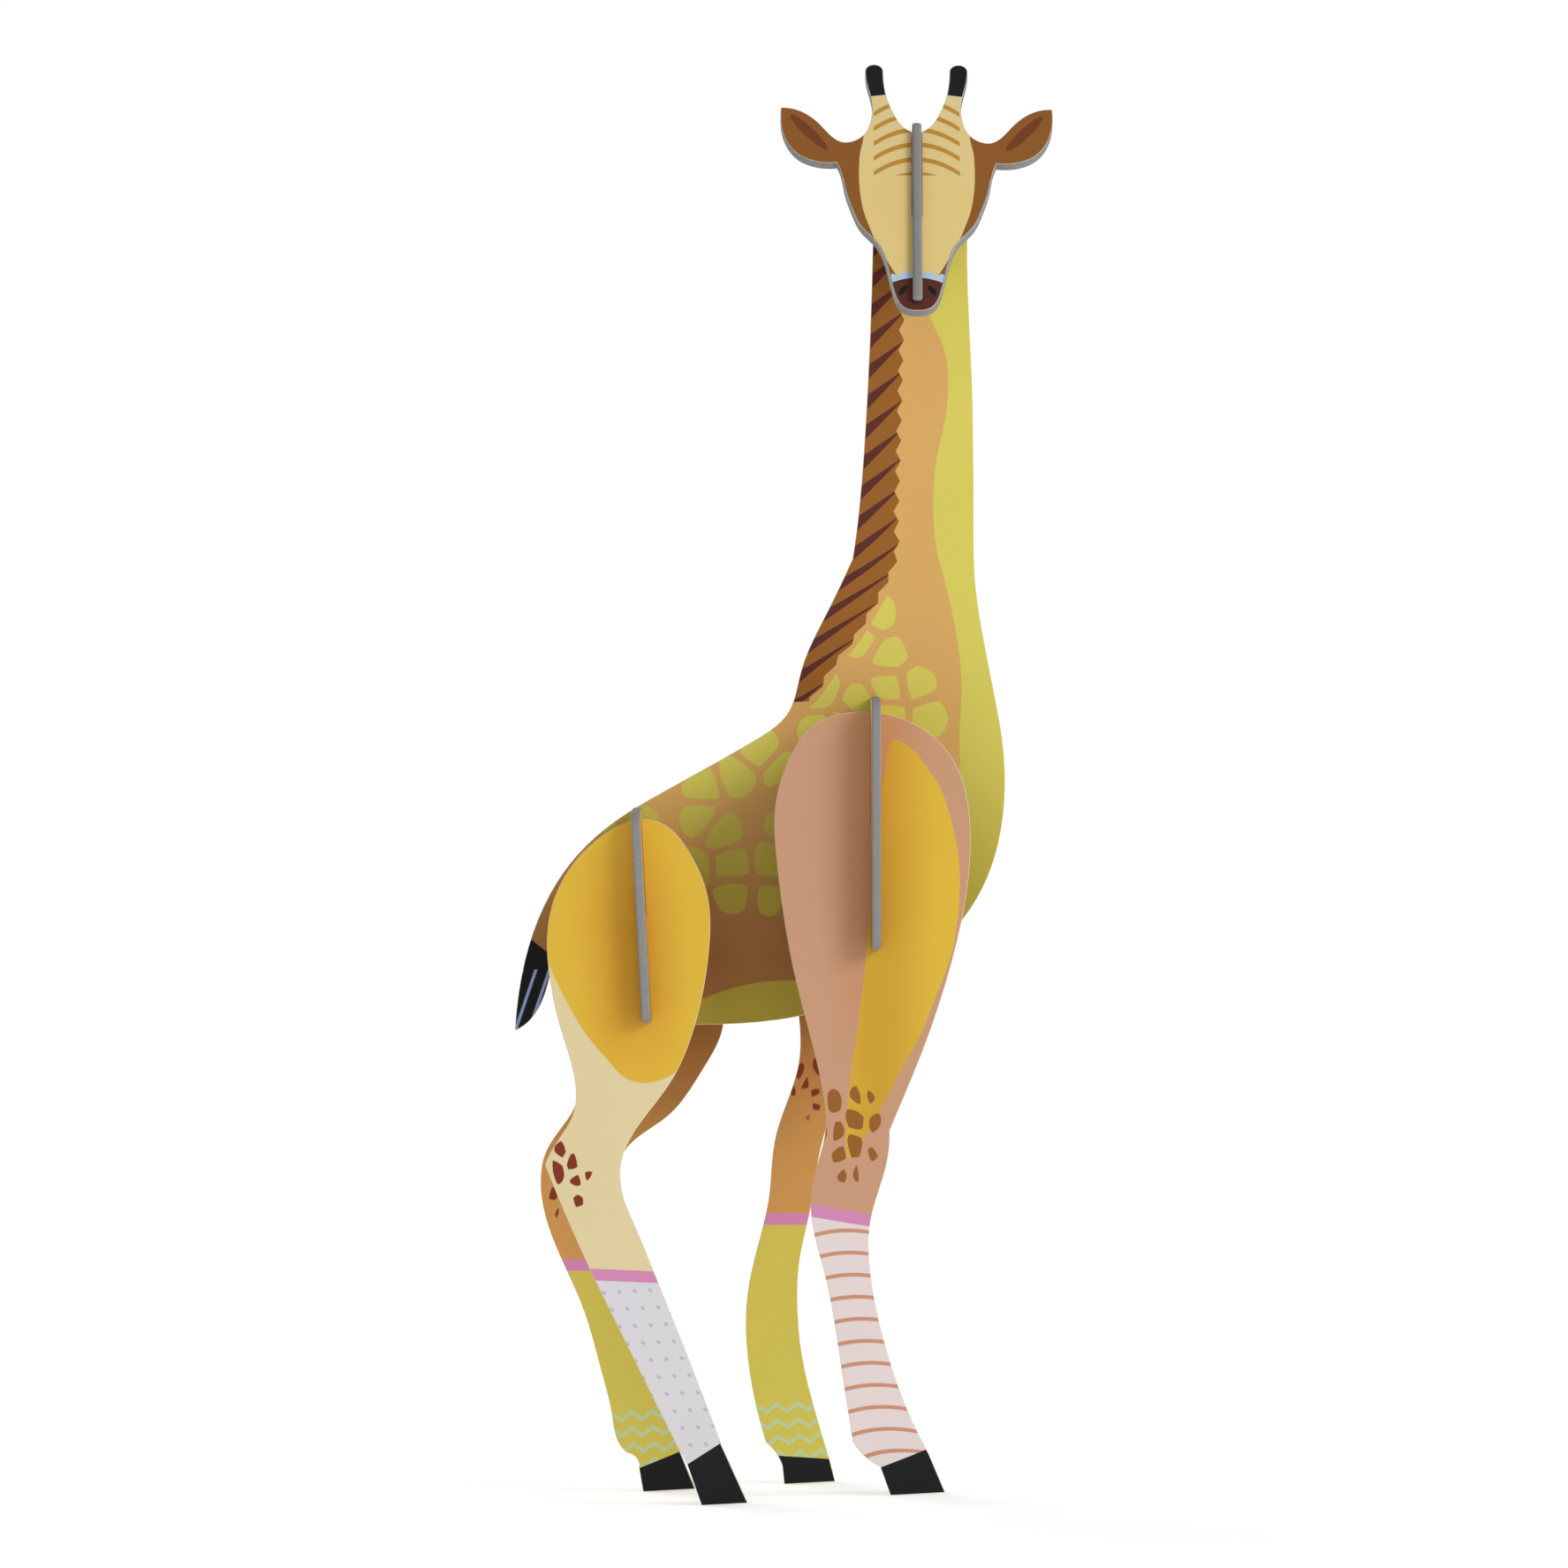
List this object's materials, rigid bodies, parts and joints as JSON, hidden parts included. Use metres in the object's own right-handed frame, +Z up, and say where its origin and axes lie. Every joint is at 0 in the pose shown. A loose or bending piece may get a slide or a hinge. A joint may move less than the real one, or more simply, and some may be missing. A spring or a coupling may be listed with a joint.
{
  "type": "slot-together giraffe figure",
  "caption": "Free-standing giraffe figure of flat printed greyboard pieces: leg plates hang on cross boards slotted into the body board, and a face plate on a head board.",
  "frame": {"origin": "on the ground plane, under the middle of the figure's bounding box", "axes": "+Z up from the soles to the horns, +X the way the body faces, +Y to the animal's left"},
  "size_m": [0.1228, 0.056, 0.2987],
  "materials": {
    "body_print": "satin",
    "cross_board_print": "satin",
    "near_leg_print": "satin",
    "far_leg_print": "satin",
    "head_board_print": "satin",
    "face_print": "satin"
  },
  "bodies": {
    "body_board": {"body_board": "body_print"},
    "shoulder_board": {"shoulder_board": "cross_board_print"},
    "hip_board": {"hip_board": "cross_board_print"},
    "right_front_leg": {"right_front_leg": "near_leg_print"},
    "left_front_leg": {"left_front_leg": "far_leg_print"},
    "right_hind_leg": {"right_hind_leg": "near_leg_print"},
    "left_hind_leg": {"left_hind_leg": "far_leg_print"},
    "head_board": {"head_board": "head_board_print"},
    "face_plate": {"face_plate": "face_print"}
  },
  "joints": [
    {"name": "shoulder_slide", "type": "slide", "parent": "body_board", "child": "shoulder_board", "axis": [-0.0523, 0, -0.9986], "range_m": [0, 0.037]},
    {"name": "hip_slide", "type": "slide", "parent": "body_board", "child": "hip_board", "axis": [0, 0, -1], "range_m": [0, 0.024]},
    {"name": "right_front_leg_slide", "type": "slide", "parent": "shoulder_board", "child": "right_front_leg", "axis": [-0.0523, 0, -0.9986], "range_m": [0, 0.027]},
    {"name": "left_front_leg_slide", "type": "slide", "parent": "shoulder_board", "child": "left_front_leg", "axis": [-0.0523, 0, -0.9986], "range_m": [0, 0.027]},
    {"name": "right_hind_leg_slide", "type": "slide", "parent": "hip_board", "child": "right_hind_leg", "axis": [0, 0, -1], "range_m": [0, 0.023]},
    {"name": "left_hind_leg_slide", "type": "slide", "parent": "hip_board", "child": "left_hind_leg", "axis": [0, 0, -1], "range_m": [0, 0.023]},
    {"name": "head_slide", "type": "slide", "parent": "body_board", "child": "head_board", "axis": [0.0611, 0, 0.9981], "range_m": [0, 0.012]},
    {"name": "face_slide", "type": "slide", "parent": "head_board", "child": "face_plate", "axis": [-0.0481, -0.6157, -0.7865], "range_m": [0, 0.026]}
  ]
}
